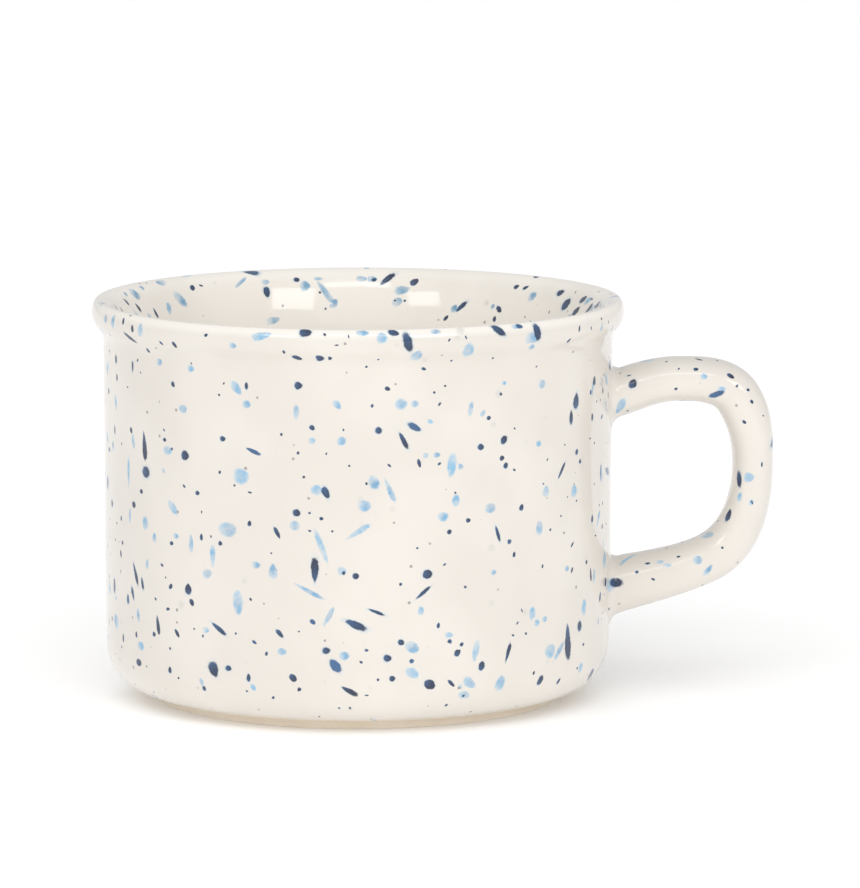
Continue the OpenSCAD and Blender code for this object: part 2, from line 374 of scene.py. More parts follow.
def wheel_tree():
    """Geometry nodes that turn an outline about the upright axis into a closed skin."""
    tree = bpy.data.node_groups.new("Turn on the wheel", "GeometryNodeTree")
    sockets = (("Outline", "Geometry"), ("Turn Steps", "Int"), ("Wobble", "Float"),
               ("Wobble Grain", "Float"), ("Weld", "Float"), ("Material", "Material"))
    for name, kind in sockets:
        tree.interface.new_socket(name, in_out="INPUT", socket_type="NodeSocket" + kind)
    tree.interface.new_socket("Skin", in_out="OUTPUT", socket_type="NodeSocketGeometry")
    make = NodeMaker(tree)
    given = make.add("NodeGroupInput").outputs
    size = make.add("GeometryNodeAttributeDomainSize", [given["Outline"]]).outputs["Point Count"]
    columns = make.math("ADD", given["Turn Steps"], 1.0)
    grid = make.add("GeometryNodeMeshGrid",
                    {"Size X": 1.0, "Size Y": 1.0, "Vertices X": columns, "Vertices Y": size})
    sheet = make.add("GeometryNodeStoreNamedAttribute",
                     {"Geometry": grid.outputs["Mesh"], "Name": "OFBake",
                      "Value": grid.outputs["UV Map"]},
                     data_type="FLOAT2", domain="CORNER").outputs["Geometry"]
    turn, run, _ = make.split(grid.outputs["UV Map"])
    row = make.math("ROUND", make.math("MULTIPLY", run, make.math("SUBTRACT", size, 1.0)))
    sample = make.add("GeometryNodeSampleIndex",
                      {"Geometry": given["Outline"], "Index": row}, data_type="FLOAT_VECTOR")
    make.feed(sample.inputs["Value"], make.add("GeometryNodeInputPosition").outputs[0])
    spin = make.add("ShaderNodeVectorRotate", rotation_type="Z_AXIS")
    make.feed(spin.inputs["Vector"], sample.outputs["Value"])
    make.feed(spin.inputs["Angle"], make.math("MULTIPLY", turn, math.tau))
    place = spin.outputs["Vector"]

    # The dips face inwards and fade out where the handle is joined.
    outward = make.vector("NORMALIZE", make.vector("MULTIPLY", place, (1.0, 1.0, 0.0)))
    noise = make.add("ShaderNodeTexNoise", {"Vector": place, "Detail": 1.0})
    make.feed(noise.inputs["Scale"], make.math("DIVIDE", 1.0, given["Wobble Grain"]))
    away = make.ramp(make.split(outward)[0], 0.8, 0.95, 1.0, 0.0)
    dip = make.math("MULTIPLY", make.ramp(noise.outputs["Fac"], 0.3, 0.7), away)
    inward = make.vector("SCALE", outward, make.math("MULTIPLY", dip, make.math(
        "MULTIPLY", given["Wobble"], -1.0)))
    moved = make.add("GeometryNodeSetPosition",
                     {"Geometry": sheet, "Position": make.vector("ADD", place, inward)})
    welded = make.add("GeometryNodeMergeByDistance",
                      {"Geometry": moved.outputs[0], "Distance": given["Weld"]})
    smooth = make.add("GeometryNodeSetShadeSmooth", {"Geometry": welded.outputs[0]})
    real = make.add("GeometryNodeRealizeInstances", {"Geometry": smooth.outputs[0]})
    coated = make.add("GeometryNodeSetMaterial",
                      {"Geometry": real.outputs[0], "Material": given["Material"]})
    make.feed(make.add("NodeGroupOutput").inputs["Skin"], coated.outputs[0])
    return tree


def set_inputs(modifier, values):
    """Sets a geometry nodes modifier's inputs, given by the sockets' names."""
    for item in modifier.node_group.interface.items_tree:
        if item.in_out == "INPUT" and item.name in values:
            modifier[item.identifier] = values[item.name]


def turned(name, outline, seen, material, cup):
    """A closed, turned piece. Its first rows, seen of them, are the surface that shows."""
    line = bpy.data.meshes.new(name)
    closed = outline if outline[0][0] == outline[-1][0] == 0 else outline + outline[:1]
    line.from_pydata([(r, 0.0, z) for r, z in closed], [(i, i + 1) for i in range(len(closed) - 1)], [])
    former = bpy.data.objects.new(name, line)
    bpy.context.collection.objects.link(former)
    modifier = former.modifiers.new("Wheel", "NODES")
    modifier.node_group = bpy.data.node_groups.get("Turn on the wheel") or wheel_tree()
    set_inputs(modifier, {"Turn Steps": cup.turn_steps, "Wobble": cup.wobble,
                          "Wobble Grain": WOBBLE_GRAIN, "Weld": WELD, "Material": material})
    evaluated = former.evaluated_get(bpy.context.evaluated_depsgraph_get())
    mesh = bpy.data.meshes.new_from_object(evaluated)
    former.modifiers.remove(modifier)
    former.data = mesh
    bpy.data.meshes.remove(line)
    mesh.name = name
    tidy_skin(mesh)
    unroll_cup(mesh, closed, seen)
    return former


def tidy_skin(mesh):
    """Drops what welding left over, checks that the skin is closed and turns it outwards."""
    skin = bmesh.new()
    skin.from_mesh(mesh)
    bmesh.ops.dissolve_degenerate(skin, dist=1e-8, edges=skin.edges)
    bare = [edge for edge in skin.edges if not edge.link_faces]
    bmesh.ops.delete(skin, geom=bare, context="EDGES")
    loose = [point for point in skin.verts if not point.link_edges]
    bmesh.ops.delete(skin, geom=loose, context="VERTS")
    if any(not edge.is_manifold for edge in skin.edges):
        raise RuntimeError(f"{mesh.name} has an open or crossed edge")
    if skin.calc_volume(signed=True) < 0:
        bmesh.ops.reverse_faces(skin, faces=skin.faces)
    skin.to_mesh(mesh)
    skin.free()
    mesh.set_sharp_from_angle(angle=math.radians(SHARP))


def corner_uv(mesh):
    """The unrolled place of every face corner, and the face that each corner belongs to."""
    places = np.empty(len(mesh.loops) * 2, np.float32)
    mesh.uv_layers["OFBake"].data.foreach_get("uv", places)
    totals = np.empty(len(mesh.polygons), np.int32)
    mesh.polygons.foreach_get("loop_total", totals)
    return places.reshape(-1, 2), np.repeat(np.arange(len(totals)), totals), totals


def unroll_cup(mesh, outline, seen):
    """Lays the skin out flat for baking, as two half turns, and marks the faces that show."""
    places, owner, totals = corner_uv(mesh)
    middle = np.stack([np.bincount(owner, places[:, k]) / totals for k in (0, 1)], axis=1)
    lengths = [math.dist(a, b) for a, b in zip(outline, outline[1:])]
    hidden_share = 0.12
    weights = [gap if i < seen - 1 else gap * hidden_share for i, gap in enumerate(lengths)]
    rows = np.concatenate([[0], np.cumsum(weights)]) / sum(weights)
    rank = np.clip(np.round(places[:, 1] * (len(outline) - 1)).astype(int), 0, len(outline) - 1)
    half = (middle[owner, 0] >= 0.5).astype(float)
    margin = 0.004
    spread = np.stack([places[:, 0] * 2 - half, (rows[rank] * (1 - margin) + half) / 2], axis=1)
    mesh.uv_layers["OFBake"].data.foreach_set("uv", spread.astype(np.float32).ravel())
    mark_seen(mesh, middle[:, 1] * (len(outline) - 1) < seen - 1)


def mark_seen(mesh, seen):
    """Keeps on every face whether it shows."""
    flags = mesh.attributes.new("seen", "BOOLEAN", "FACE")
    flags.data.foreach_set("value", np.asarray(seen, bool))


# ------------------------------------------------------------- the handle's form

def handle_rows(form, handle):
    """The middle line's few set places, from the upper root round to the lower one."""
    upper_z = form.height - handle.upper_root_drop
    rise = upper_z - handle.lower_root_z

    def row(out, up, heading, thickness, width):
        return (np.array((out * handle.reach, handle.lower_root_z + up * rise)),
                np.array((math.cos(math.radians(heading)), math.sin(math.radians(heading)))),
                thickness, width)
    return [
        row(0.00, 1.000, 18, handle.upper_root_t, handle.root_w),
        row(0.48, 1.085, 0, handle.arm_t, handle.grip_w),
        row(0.90, 0.980, -59, handle.bend_t, handle.grip_w),
        row(1.00, 0.640, -90, handle.grip_t, handle.grip_w),
        row(0.67, 0.145, -156, handle.bend_t, handle.grip_w),
        row(0.00, 0.000, -163, handle.lower_root_t, handle.root_w)]


def station(rows, index, t):
    """Place, direction, thickness and width at a share t of one stretch."""
    fullness = 1.08
    (a, way_a, t_a, w_a), (b, way_b, t_b, w_b) = rows[index], rows[index + 1]
    pull = fullness * np.linalg.norm(b - a)
    da, db = way_a * pull, way_b * pull
    place = (2 * t ** 3 - 3 * t ** 2 + 1) * a + (t ** 3 - 2 * t ** 2 + t) * da \
        + (3 * t ** 2 - 2 * t ** 3) * b + (t ** 3 - t ** 2) * db
    slope = 6 * (t ** 2 - t) * a + (3 * t ** 2 - 4 * t + 1) * da \
        + 6 * (t - t ** 2) * b + (3 * t ** 2 - 2 * t) * db
    ease = t * t * (3 - 2 * t)
    return place, slope / np.linalg.norm(slope), t_a + (t_b - t_a) * ease, w_a + (w_b - w_a) * ease


def section(thickness, width, grow, power, sides):
    """Up and across offsets of one squarish oval section."""
    turn = np.arange(sides) / sides * math.tau
    across = np.sign(np.cos(turn)) * np.abs(np.cos(turn)) ** (2 / power) * (width / 2 + grow)
    up = np.sign(np.sin(turn)) * np.abs(np.sin(turn)) ** (2 / power) * (thickness / 2 + grow)
    return up, across


def wall_x(form, cup, across, z):
    """How far out the wall is at a place across the handle's middle plane."""
    low_z = form.foot_h + cup.corner_r
    part = np.clip((z - low_z) / (form.neck_z - low_z), 0, 1)
    radius = form.wall_r + (form.wall_top_r - form.wall_r) * part
    return np.sqrt(radius ** 2 - across ** 2)


def handle_rings(form, cup, handle, depth, sides=72, per_stretch=22):
    """Rings of points from the upper root to the lower one, at a depth below the glaze's surface."""
    rows = handle_rows(form, handle)
    middle_r = (form.wall_r + form.wall_top_r) / 2
    last = len(rows) - 2
    walk = [station(rows, i, k / per_stretch) for i in range(last + 1) for k in range(per_stretch)]
    walk.append(station(rows, last, 1.0))
    settle = 7 * MM
    clear = 1.15 * handle.root_fillet
    sunk = 0.03 * MM
    fillet_steps = 12
    passes = 4

    def swept(spot, grow):
        """A ring square to the handle's middle line."""
        place, way, thickness, width = spot
        up, across = section(thickness, width, grow - depth, handle.section_power, sides)
        x = middle_r + place[0] - way[1] * up
        return np.stack([x, across, place[1] + way[0] * up], axis=1)

    def straight(root, out, grow):
        """A ring that keeps one distance from the curved wall, on the root's straight tube."""
        place, way, thickness, width = root
        up, across = section(thickness, width, grow - depth, handle.section_power, sides)
        x, z = middle_r + place[0] - way[1] * up, place[1] + way[0] * up
        for _ in range(passes):
            along = (wall_x(form, cup, across, z) + out - x) / way[0]
            x, z = x + along * way[0], z + along * way[1]
        return np.stack([x, across, z], axis=1)

    def root_rings(root):
        """The fillet of smoothed slip, from the wall out on to the handle."""
        quarter = np.radians(np.linspace(0, 90, fillet_steps, endpoint=False))
        return [straight(root, handle.root_fillet * (1 - math.cos(a)) - sunk,
                         handle.root_fillet * (1 - math.sin(a))) for a in quarter]

    first, final = walk[0], walk[-1]
    rings = root_rings(first)
    for spot in walk[1:-1]:
        out = spot[0][0]
        if out < clear:
            continue
        root = first if spot[0][1] > (first[0][1] + final[0][1]) / 2 else final
        ease = min(out / settle, 1.0)
        ease = ease * ease * (3 - 2 * ease)
        ring = swept(spot, 0.0)
        if ease < 1:
            ring = straight(root, out, 0.0) * (1 - ease) + ring * ease
        rings.append(ring)
    rings += root_rings(final)[::-1]
    return np.array(rings)


def ring_mesh(name, rings, seen):
    """A closed skin through rings that also join end to end. The first, seen of them, show."""
    count, sides = rings.shape[:2]
    mesh = bpy.data.meshes.new(name)
    faces = []
    for i in range(count):
        ahead = (i + 1) % count
        for j in range(sides):
            beside = (j + 1) % sides
            faces.append((i * sides + j, ahead * sides + j, ahead * sides + beside, i * sides + beside))
    mesh.from_pydata(rings.reshape(-1, 3).tolist(), [], faces)
    mesh.polygons.foreach_set("use_smooth", np.ones(len(faces), bool))
    tidy_skin(mesh)
    lay_flat(mesh, rings, seen)
    return mesh


def lay_flat(mesh, rings, seen):
    """Unrolls a ring skin for baking: along the handle one way, round its section the other."""
    count, sides = rings.shape[:2]
    gaps = np.linalg.norm(np.roll(rings, -1, axis=0) - rings, axis=2).mean(axis=1)
    hidden_share = 0.15
    gaps[seen - 1:] *= hidden_share
    along = np.concatenate([[0], np.cumsum(gaps)]) / gaps.sum()
    points = np.empty(len(mesh.loops), np.int32)
    mesh.loops.foreach_get("vertex_index", points)
    corners = points.reshape(-1, 4)
    ring, side = corners // sides, corners % sides
    ring = np.where((ring == 0) & (ring.max(axis=1, keepdims=True) == count - 1), count, ring)
    side = np.where((side == 0) & (side.max(axis=1, keepdims=True) == sides - 1), sides, side)
    layer = mesh.uv_layers.new(name="OFBake")
    spread = np.stack([along[ring], side / sides], axis=2)
    layer.data.foreach_set("uv", spread.astype(np.float32).ravel())
    mark_seen(mesh, ring.max(axis=1) <= seen - 1)


# ------------------------------------------------------------- spatter

# One way in which the coloured glaze landed. The sizes are in millimetres,
# each a smallest and a largest, and many counts splashes on 100 cm2. The
# tone runs from a layer's lighter colour, 0, to its darker one, 1.
Spatter = namedtuple("Spatter", "layer many length width taper tone soft pooled")
SPATTERS = (
    Spatter("soft", 16, (4.0, 7.0), (0.7, 1.2), (0.0, 0.6), (0.0, 0.6), (0.25, 0.5), (0.0, 0.3)),
    Spatter("soft", 26, (2.2, 3.6), (1.5, 2.6), (0.0, 0.3), (0.0, 0.5), (0.18, 0.35), (0.0, 0.5)),
    Spatter("soft", 60, (1.0, 2.2), (0.8, 1.6), (0.0, 0.3), (0.1, 0.9), (0.2, 0.4), (0.0, 0.3)),
    Spatter("dark", 8, (3.2, 5.5), (0.8, 1.6), (0.0, 0.6), (0.5, 1.0), (0.12, 0.25), (0.2, 0.9)),
    Spatter("dark", 16, (2.2, 3.6), (1.6, 2.4), (0.0, 0.4), (0.5, 1.0), (0.08, 0.2), (0.2, 1.0)),
    Spatter("dark", 60, (0.8, 2.0), (0.7, 1.4), (0.0, 0.3), (0.4, 1.0), (0.12, 0.3), (0.0, 0.4)),
    Spatter("dark", 110, (0.4, 0.9), (0.3, 0.6), (0.0, 0.2), (0.5, 1.0), (0.2, 0.4), (0.0, 0.0)),
)
LAYERS = ("soft", "dark")

# The main splashes, listed one by one. On the cup: degrees round from the front,
# positive towards the handle, then the height, length and width in
# millimetres, and the slant in degrees from level, rising to the right.
WALL_NAVY = (
    (-58, 74.5, 4, 1, -30), (-60.5, 68.5, 2.2, 0.7, 90), (-45, 66.5, 1.2, 0.9, -50),
    (-25, 67.5, 1.4, 0.7, 90), (-31, 57, 1.2, 1, 0), (-55.5, 53.5, 5.6, 1.5, -85),
    (-55, 48.5, 2.5, 2.2, 0), (-41.5, 53, 2, 1.9, 0), (-57, 44.5, 1.2, 0.9, 0),
    (-60.5, 41.5, 1.5, 1.3, 0), (-38, 46, 1, 0.8, 0), (-37, 37.5, 1.3, 0.7, 90), (-60, 28, 4.6, 1, -65),
    (-46.5, 27, 1.3, 0.9, 50), (-41, 27, 2.2, 1.6, 90), (-40, 24.5, 1.5, 1, -55), (-51, 19, 3.8, 1, -80),
    (-44.5, 18, 1.8, 0.8, -50), (-32.5, 20, 3.8, 0.9, -33), (-67, 14.5, 1.7, 0.8, 90),
    (-59, 10.5, 2, 1.4, 0), (-34, 12, 3.1, 2.1, -65), (-30, 12.5, 1.3, 1.1, 0), (-25, 11, 1.6, 0.8, 90),
    (-13, 73, 2.1, 1, -30), (-8, 73, 1.6, 1.4, 0), (-13, 68, 1.5, 1.4, 0), (-10, 60, 1.1, 0.9, -45),
    (4.5, 59.5, 1.3, 1.3, 0), (-7, 47.5, 2.4, 1.3, -65), (-13.5, 43.5, 1.5, 1.4, 0),
    (-18, 39.5, 2.4, 0.8, -62), (-9.5, 32.5, 4.7, 1.4, 90), (-0.5, 31.5, 1.3, 1.2, 0),
    (-0.5, 22, 4.3, 1.4, -24), (4, 24.5, 3.4, 0.6, -22), (-17.5, 20, 2, 0.9, -48), (-7, 17, 1.5, 1.3, 0),
    (6.5, 15.5, 1.5, 1.3, 0), (-14.5, 11.5, 1.8, 1.3, -45), (-2, 8.5, 3.9, 1, -30),
    (-11, 78.5, 2.4, 1.7, 0), (10.5, 76.5, 4.4, 1.7, -75), (14.5, 71, 1, 0.6, -20),
    (6.5, 67.5, 1.1, 0.8, -25), (10, 57.5, 3.6, 0.9, -62), (13.5, 53, 1.7, 0.7, -75),
    (30, 61, 0.9, 0.8, 0), (28, 55.5, 1.3, 1.2, 0), (34, 56.5, 1.8, 1.4, 45), (33.5, 53, 1.1, 1, 0),
    (34.5, 51.5, 1.2, 1, 60), (25, 41.5, 1, 0.9, 0), (20.5, 39.5, 1, 0.9, 50),
    (32.5, 38.5, 3.2, 0.7, -72), (39, 43, 1.3, 1, 70), (15.5, 31.5, 1.9, 1.7, 0),
    (14.5, 28, 3.6, 0.7, 40), (37, 34, 1.1, 0.7, 80), (18, 21.5, 1.1, 0.6, 80),
    (9.5, 18.5, 1.3, 1.1, -30), (23.5, 17.5, 0.9, 0.7, 50), (22.5, 16, 1.7, 1.2, 60),
    (28.5, 13, 1.8, 1.3, 70), (35.5, 15, 4, 0.8, 72), (7.5, 11.5, 1.2, 1.1, 0), (16, 10, 2.3, 1.9, -35),
    (21, 10, 2, 0.7, -45), (31, 78, 3.6, 1.5, -45), (41, 77, 3.7, 1.7, -75), (7.5, 78.5, 2.2, 1.3, -20),
    (51.5, 74.5, 1.2, 0.6, 50), (54.5, 76.5, 1.3, 0.6, 80), (57.5, 62, 3, 1.9, 80),
    (55.5, 59, 2.8, 1.2, 90), (66.5, 65, 1.8, 1.4, 90), (72.5, 62.5, 1.3, 0.9, 90),
    (65.5, 58, 1.5, 1, 90), (58, 52, 1.2, 1, 70), (59.5, 50, 0.9, 0.8, 90), (52, 49, 3.7, 0.7, 53),
    (66, 38, 1.4, 0.9, 85), (56.5, 34, 1.3, 0.5, 45), (56.5, 29, 1.2, 0.6, 60),
    (65.5, 27, 2.6, 0.8, -80), (77, 24, 1.8, 1.3, 90), (60, 17.5, 2, 1.6, 85), (55, 15, 7, 1.9, -87),
    (45.5, 7.5, 2.2, 1.4, 65), (52.5, 6, 1.5, 0.8, 65),
    (-46, 35.5, 1, 0.8, 0), (-57, 26.5, 2.5, 0.8, -75), (-47.5, 22.5, 1, 0.6, 10),
    (-61.5, 24, 2.5, 0.9, -70), (-73, 24, 3, 1.4, 90), (-68, 31, 1.6, 0.8, -75), (-67.5, 38, 1, 0.7, 90),
    (-52.5, 17, 1, 0.9, 0), (-60, 16, 1.2, 0.8, 90), (-47, 10.5, 1.3, 0.9, 90), (-37, 6.5, 1.3, 0.9, 90),
    (-70, 69, 1.7, 1.2, 90), (-69.5, 65.5, 1.4, 0.9, 90), (-53, 72, 1.1, 0.8, -50),
    (-61.5, 56, 1.3, 1, -70), (-71.5, 55, 1.8, 0.8, 90), (-48, 55.5, 0.9, 0.8, 0),
    (-60, 77.5, 1.4, 0.8, -80), (-56, 76.5, 1.5, 0.9, 90), (-42.5, 74.5, 1.5, 1, -70),
    (-46.5, 74.5, 1, 0.6, -45), (-33.5, 77, 0.8, 0.6, 30), (-6, 73, 1, 0.9, 0),
    (-24.5, 41, 1.1, 0.8, 80), (-8, 42.5, 0.8, 0.7, 0))
WALL_STEEL = (
    (-23.5, 55, 3.1, 0.8, -20), (-64, 22.5, 1.9, 1.1, 90), (-5, 14, 3, 1.8, -50),
    (12.5, 60, 2.8, 1.2, -30), (-10, 22.5, 1.3, 0.9, -40), (71.5, 46.5, 2.8, 0.8, 85),
    (64.5, 63, 1, 0.8, 80), (36.5, 78.5, 1.6, 1, -20),
    (-23.5, 18, 1.1, 0.6, -30))
WALL_SKY = (
    (-27.5, 67, 3.1, 1.6, -45), (-49.5, 70.5, 1.6, 1.4, 0), (-39.5, 70, 1.6, 1.3, 0),
    (-42, 62, 2, 1.5, 0), (-25, 64, 1.6, 1.4, 0), (-47, 53.5, 2.2, 1.7, 0), (-26.5, 50, 3.1, 3, 0),
    (-63, 47.5, 6, 1, 90), (-45.5, 42.5, 3.2, 1.6, -45), (-55.5, 38.5, 2.5, 1.9, 90),
    (-30, 39.5, 3.8, 2.8, 0), (-40, 36, 3.2, 1.1, 90), (-34, 34, 4.2, 1.2, 90),
    (-27.5, 25.5, 4.5, 2.1, -88), (-58, 14, 2.3, 1.7, 0), (-20.5, 77.5, 3.8, 1.5, 15),
    (1, 78.5, 2.5, 1.2, 0), (5, 77.5, 2, 2, 0), (-13.5, 63, 2.7, 1.1, 90), (-4.5, 64.5, 2, 1.2, -50),
    (-3.5, 57.5, 1.7, 1.6, 0), (-10, 57.5, 1.3, 1.2, 0), (3.5, 49.5, 2.6, 1.9, -70),
    (1.5, 45, 2.3, 2.1, 0), (-9, 48, 2.2, 1.9, 0), (-14, 41, 1.9, 1.8, 0), (-8, 37, 6.5, 1.1, 111),
    (0, 40, 5.3, 1, 32), (-19, 32, 2.8, 1.7, 90), (-3.5, 32.5, 1.6, 1.5, 0), (-11, 28.5, 6.5, 0.8, -27),
    (-6.5, 23.5, 4, 0.9, 62), (-3, 16, 1.9, 1.6, 0), (-17, 16.5, 1.8, 1.3, 0), (12.5, 73.5, 2.6, 2, 60),
    (24, 74.5, 2.9, 2.2, 90), (9.5, 64.5, 2.2, 2.1, 0), (12.5, 64.5, 1.4, 1.3, 0),
    (25.5, 63, 2.8, 1, 80), (28.5, 62, 1.5, 0.9, 60), (15, 54.5, 1.1, 1, 0), (21, 52.5, 4.6, 1.8, -98),
    (7, 48, 4.8, 1, -67), (22, 45.5, 2.3, 1.5, 90), (19, 42.5, 2, 1.8, 0), (30.5, 43.5, 2.3, 1.8, 0),
    (14, 24.5, 1.6, 1.2, 90), (12, 17.5, 2.8, 2.1, -30), (27, 16, 3.8, 1.3, -102),
    (12, 12.5, 2.8, 1.8, -35), (25.5, 9.5, 3, 1.8, -35), (24.5, 5.5, 2.6, 1.6, -30),
    (33.5, 8.5, 3.2, 2, 75), (39.5, 76, 2.8, 2.4, 0), (35.5, 78.5, 2.2, 0.9, 0), (16.5, 78.5, 2, 1, 0),
    (45, 66.5, 1.7, 1.6, 0), (40, 74, 1.5, 1.2, 0), (44, 55, 1.4, 1.2, 0), (46.5, 45.5, 2.1, 1.7, 90),
    (57, 44.5, 2.4, 2, 90), (44.5, 38.5, 2.6, 1.8, 90), (70, 37.5, 3.5, 1.1, 60),
    (67.5, 26.5, 2.8, 1.2, 80), (62, 21, 3.2, 1.9, 85), (42.5, 22, 2.5, 1.6, 90), (44, 20, 1.4, 1.3, 0),
    (48.5, 14, 3, 2.5, 0), (51.5, 13.5, 4.5, 1.1, 45), (61, 8.5, 2.2, 1.6, 85), (65.5, 63.5, 3, 0.9, 80),
    (64.5, 76, 1.8, 0.9, 80), (54.5, 29.5, 1.4, 1.1, 0), (-65, 77, 3, 1.5, 80),
    (-53, 76.5, 2.5, 1.6, 85),
    (-52, 36, 1.8, 1.2, 90), (-44.5, 37, 1.4, 1, 0), (-35.5, 30.5, 2.2, 1.7, 20), (-23, 33, 1.6, 1.4, 0),
    (-55, 30.5, 2, 1, 80), (-62.5, 39, 3, 0.8, 85), (-59, 20, 2.6, 1, -80), (-36, 19.5, 1.5, 1.2, 0),
    (-37.5, 8.5, 1.6, 0.9, -80), (-24, 8.5, 1.5, 0.9, -60), (-70.5, 60.5, 3, 1.2, -80),
    (-60.5, 54, 3, 1.1, -75), (-48.5, 49.5, 1.2, 0.7, -50), (-27, 75.5, 1.4, 1.2, 0),
    (17.5, 54.5, 1.4, 1, 0), (23, 52, 1.2, 1.1, 0), (31.5, 31, 1.2, 0.9, 0), (20.5, 19.5, 1.6, 1.1, 0),
    (23.5, 8.5, 1.6, 0.8, -40), (46.5, 20.5, 1.3, 1.1, 0), (34, 67.5, 0.9, 0.8, 0),
    (16, 61, 1.2, 0.8, -20))

# Inside the mouth, degrees are counted from the back, positive towards the handle.
MOUTH_NAVY = (
    (-44, 77.5, 1.3, 1.2, 0), (-23, 75, 2.1, 1.4, -85), (-26, 66, 2.6, 0.9, 70), (-12, 65.5, 2.4, 1.9, 60),
    (-15, 78, 1.3, 1, 0), (4, 77.5, 1.1, 0.8, 20), (7, 77.5, 4.6, 1.1, 48), (14, 77, 2, 1.3, 35),
    (27, 72, 3, 0.9, 45), (23, 69.5, 1.4, 0.7, 50), (38, 72, 1.6, 1.1, -40), (37, 70, 1.2, 0.8, 80),
    (42, 77.5, 1.4, 0.9, 30), (45, 77.5, 1.6, 0.7, 35), (58, 77.5, 2.4, 1.2, 25), (62, 75, 3.2, 1.9, 40),
    (68, 74, 3.4, 1.3, 40), (-58, 70, 1.5, 0.8, 80), (-41, 78, 1.4, 0.5, -30), (70, 77, 3, 1.2, 30),
    (76, 75.5, 3.4, 1.1, 35), (82, 77, 3.4, 1, 30), (88, 76, 3, 1.1, 40), (75, 78.3, 2.4, 0.8, 10),
    (-68, 75, 2.6, 0.8, -50), (-74, 77, 2.6, 0.7, -40), (-80, 75.5, 3, 0.7, -50), (-86, 77, 2.4, 0.7, -40),
    (-24, 66.5, 1.4, 0.7, 80), (-60, 73, 2.4, 0.7, -65), (49, 70, 0.9, 0.6, 70))
MOUTH_SKY = (
    (-49, 75, 4, 1.8, -50), (-54, 73.5, 2.4, 1.4, 90), (-23, 77.5, 1.8, 1.1, 0), (-30, 77.5, 4.4, 0.7, 40),
    (-22, 69, 2.8, 1.4, 15), (-13, 76, 2.1, 2.1, 0), (-8, 74.5, 5.6, 1.2, -58), (-6, 72, 2, 1.5, 60),
    (-9.5, 78.3, 2.2, 1, 0), (1, 78, 2.2, 1.2, 0), (3.5, 78, 2.2, 1.2, 0), (11, 75, 3, 1.7, 15),
    (10, 72.5, 2.2, 1.6, 15), (25, 71.5, 1.8, 1.2, 60), (19, 66, 2.4, 1.5, 0), (48, 75.5, 2.4, 1.6, 40),
    (65, 72, 2.6, 1.5, 60), (-63, 72, 3, 1.2, -60), (36, 72.5, 1.2, 0.8, 60), (73, 77, 3.4, 1.2, 30),
    (79, 76, 3, 1, 30), (86, 78, 3, 1, 20), (-52, 69, 2, 1.2, 90), (-38, 67.5, 2.6, 1.4, 70),
    (32, 67, 1.8, 1.2, 0), (-70, 73.5, 3, 0.9, -55), (-28, 66, 2.4, 1.4, -50))

# On the handle, seen from the front: millimetres out from the cup's axis, the
# height, length, width and slant, as above.
HANDLE_NAVY = (
    (54, 62.5, 1.9, 1.5, 60), (53, 65.5, 1.3, 0.5, 10), (60, 67, 1.4, 0.5, 0), (66.5, 66, 1, 0.8, 0),
    (73.5, 64.5, 1.6, 0.9, -35), (77, 61.5, 0.7, 0.6, 0), (77.5, 59, 0.9, 0.6, -60),
    (76, 55, 0.9, 0.6, -40), (79.5, 46.5, 1, 0.4, 90), (74, 43.5, 3.2, 1.4, -75), (71, 37, 2.5, 1.4, 75),
    (63, 29, 0.9, 0.5, 0), (57, 27.5, 1.1, 0.5, 5), (55, 25, 0.7, 0.6, 0), (50.5, 23, 3, 1.8, 0))
HANDLE_STEEL = (
    (70.5, 60.5, 3.3, 1.2, 25),)
HANDLE_SKY = (
    (51.5, 58.5, 3.5, 1.6, -110), (68, 64, 1.3, 1.1, 0), (71.5, 61.5, 1.6, 1, 0), (77, 44, 2, 1.9, 0),
    (75, 40, 1.8, 1, 80), (77.5, 39, 1.2, 0.9, 80), (59.5, 27.5, 1.4, 0.8, 0), (67, 27.5, 1.8, 1.6, 0),
    (69, 25.5, 2.6, 1, 55), (61, 26.5, 1.6, 0.7, 0))

# Each list with its piece, its layer and the span of tones that its splashes take.
PLACED = (
    ("outside_glaze_coat", "dark", (0.8, 1.0), WALL_NAVY),
    ("outside_glaze_coat", "dark", (0.2, 0.5), WALL_STEEL),
    ("outside_glaze_coat", "soft", (0.0, 0.35), WALL_SKY),
    ("liner_glaze_coat", "dark", (0.8, 1.0), MOUTH_NAVY),
    ("liner_glaze_coat", "soft", (0.0, 0.35), MOUTH_SKY),
    ("handle_glaze_coat", "dark", (0.8, 1.0), HANDLE_NAVY),
    ("handle_glaze_coat", "dark", (0.2, 0.5), HANDLE_STEEL),
    ("handle_glaze_coat", "soft", (0.0, 0.35), HANDLE_SKY))


# Where the listed splashes are aimed from: how far out from the cup's
# axis, outside and in the mouth, and how far in front of the handle's middle.
SPLASH_OUTSIDE = 52 * MM
SPLASH_INSIDE = 47 * MM
SPLASH_SIDE = 6 * MM
HEIGHT_COUNTS = 3         # an aim point's height counts this much more than its depth

# A listed splash that is slim for its length is a streak, and is
# narrow where it starts. Any other is a drop, a little narrower where it ends.
STREAK = 0.33
STREAK_TAPER = (-0.45, -0.15)
DROP_TAPER = (0.0, 0.25)
SOFTNESS = {"soft": (0.15, 0.3), "dark": (0.1, 0.22)}
POOLED = (0.0, 0.7)

# Random splashes longer than twice LARGE stay off the faces that look to the
# front, whose normal's Y is below FACING_FRONT.
LARGE = 0.45 * MM
FACING_FRONT = -0.35
TRIES = 3                 # faces picked for each random splash, as some have no room
FACES_AT_ONCE = 2000      # keeps the search for each face's nearest splash small


